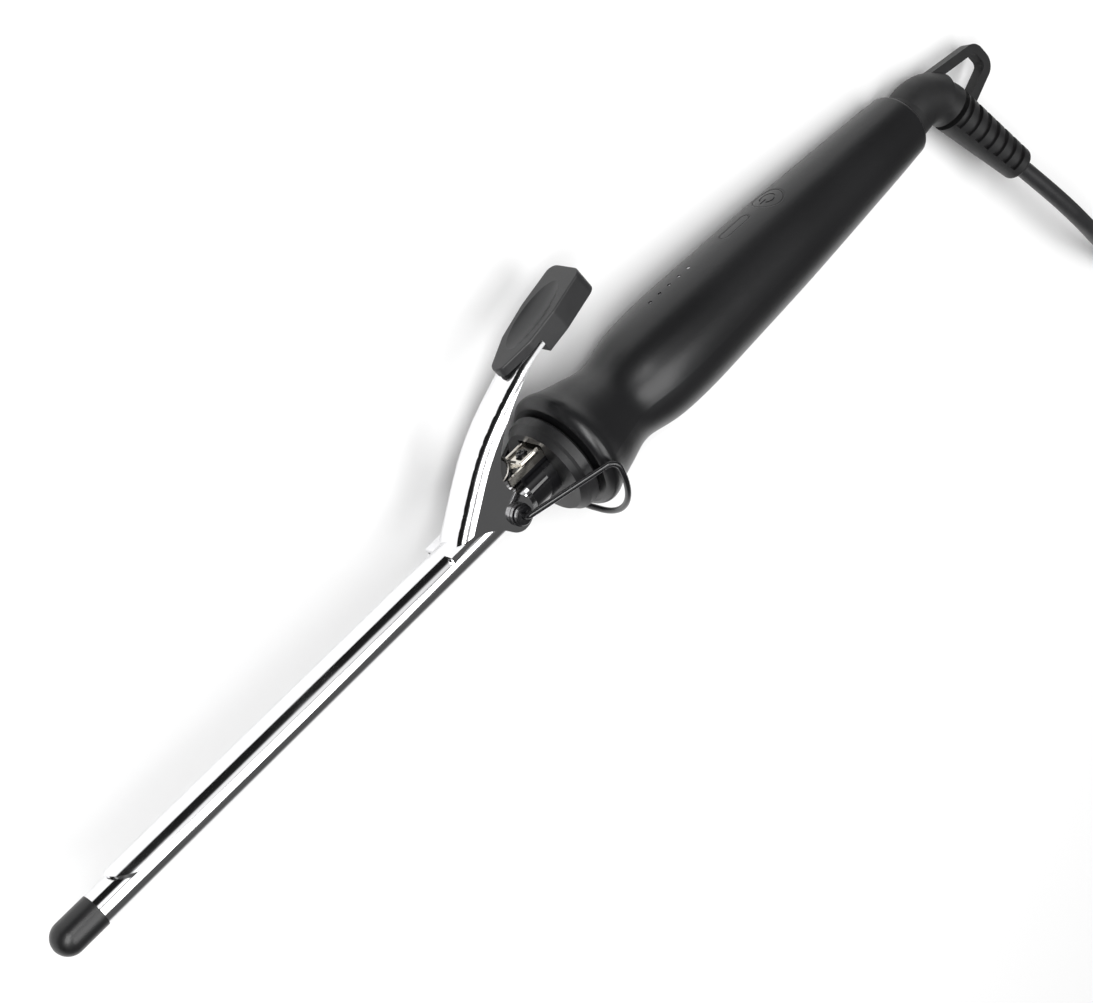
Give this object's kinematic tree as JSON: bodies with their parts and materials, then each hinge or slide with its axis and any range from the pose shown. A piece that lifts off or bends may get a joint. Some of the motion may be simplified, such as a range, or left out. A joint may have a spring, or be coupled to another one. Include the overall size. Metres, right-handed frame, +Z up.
{
  "type": "curling iron",
  "caption": "Slim curling iron with a sprung clamp, wire stand, two-shell handle with push buttons, and a swivelling mains cord with plug.",
  "frame": {"origin": "middle of the iron's own box, without its cord and plug, on the surface that it lies on", "axes": "+X along the iron from the cool tip to the cord, +Y towards the thumb pad, +Z up"},
  "size_m": [0.5956, 0.206, 0.0476],
  "materials": {
    "chrome": "polished mirror chrome",
    "heatproof_black": "heat-proof black moulding",
    "soft_black": "satin soft-touch charcoal",
    "gloss_black": "gloss black",
    "pad_grey": "satin dark grey",
    "nickel": "bright nickel plate",
    "spring_steel": "drawn spring wire",
    "zinc_steel": "bright zinc",
    "black_steel": "blackened steel",
    "aluminium": "drawn tube",
    "ceramic": "white ceramic",
    "lead_white": "glass-fibre sleeved leads",
    "board_green": "solder-masked laminate",
    "part_black": "moulded electronic parts",
    "led_white": "light-emitting dies in white cases",
    "clear_grey": "clear moulding, frosted ends",
    "contact_brass": "plated contacts",
    "boot_rubber": "matte black rubber",
    "cord_black": "smooth black cord sheath",
    "tie_black": "hook-and-loop tape"
  },
  "bodies": {
    "cord_side": {"swivel_boot": "boot_rubber", "swivel_spindle": "heatproof_black", "slip_rings": "contact_brass", "cord": "cord_black", "cord_coil": "cord_black", "cord_tail": "cord_black", "cord_tie": "tie_black", "plug_relief": "cord_black", "plug_body": "cord_black", "plug_pins": "nickel"},
    "handle": {"cool_tip": "heatproof_black", "barrel_tube": "chrome", "heat_spreader": "aluminium", "ceramic_heater": "ceramic", "temperature_sensor": "ceramic", "pivot_core": "zinc_steel", "heater_leads": "lead_white", "neck_sleeve": "gloss_black", "spring_bracket": "nickel", "bracket_screw": "black_steel", "spring_pin": "part_black", "clamp_spring": "spring_steel", "collar": "heatproof_black", "pivot_screws": "black_steel", "handle_upper_shell": "soft_black", "handle_lower_shell": "soft_black", "shell_screws": "zinc_steel", "circuit_board": "board_green", "board_parts": "part_black", "level_leds": "led_white", "light_guide": "clear_grey", "push_switches": "part_black", "contact_carrier": "heatproof_black", "contact_leaves": "contact_brass", "mains_leads": "lead_white"},
    "clamp": {"clamp": "chrome", "thumb_pad": "pad_grey"},
    "stand": {"wire_stand": "black_steel"},
    "power_button": {"power_button": "soft_black"},
    "level_button": {"level_button": "soft_black"}
  },
  "joints": [
    {"name": "cord_swivel", "type": "hinge", "parent": "cord_side", "child": "handle", "pos_m": [0.15101, -0.00172, 0.01212], "axis": [0.9972, 0, -0.0749], "continuous": true},
    {"name": "clamp_hinge", "type": "hinge", "parent": "handle", "child": "clamp", "pos_m": [-0.03187, -0.00172, 0.02584], "axis": [-0.0749, 0, -0.9972], "range_deg": [0, 18], "stiffness_Nm_per_rad": 0.5, "springref_deg": -11.46},
    {"name": "stand_hinge", "type": "hinge", "parent": "handle", "child": "stand", "pos_m": [-0.03187, -0.00172, 0.02584], "axis": [-0.0749, 0, -0.9972], "range_deg": [0, 120]},
    {"name": "power_press", "type": "slide", "parent": "handle", "child": "power_button", "axis": [0, -1, 0], "range_m": [0, 0.0006], "stiffness_N_per_m": 400},
    {"name": "level_press", "type": "slide", "parent": "handle", "child": "level_button", "axis": [0, -1, 0], "range_m": [0, 0.0006], "stiffness_N_per_m": 400}
  ]
}
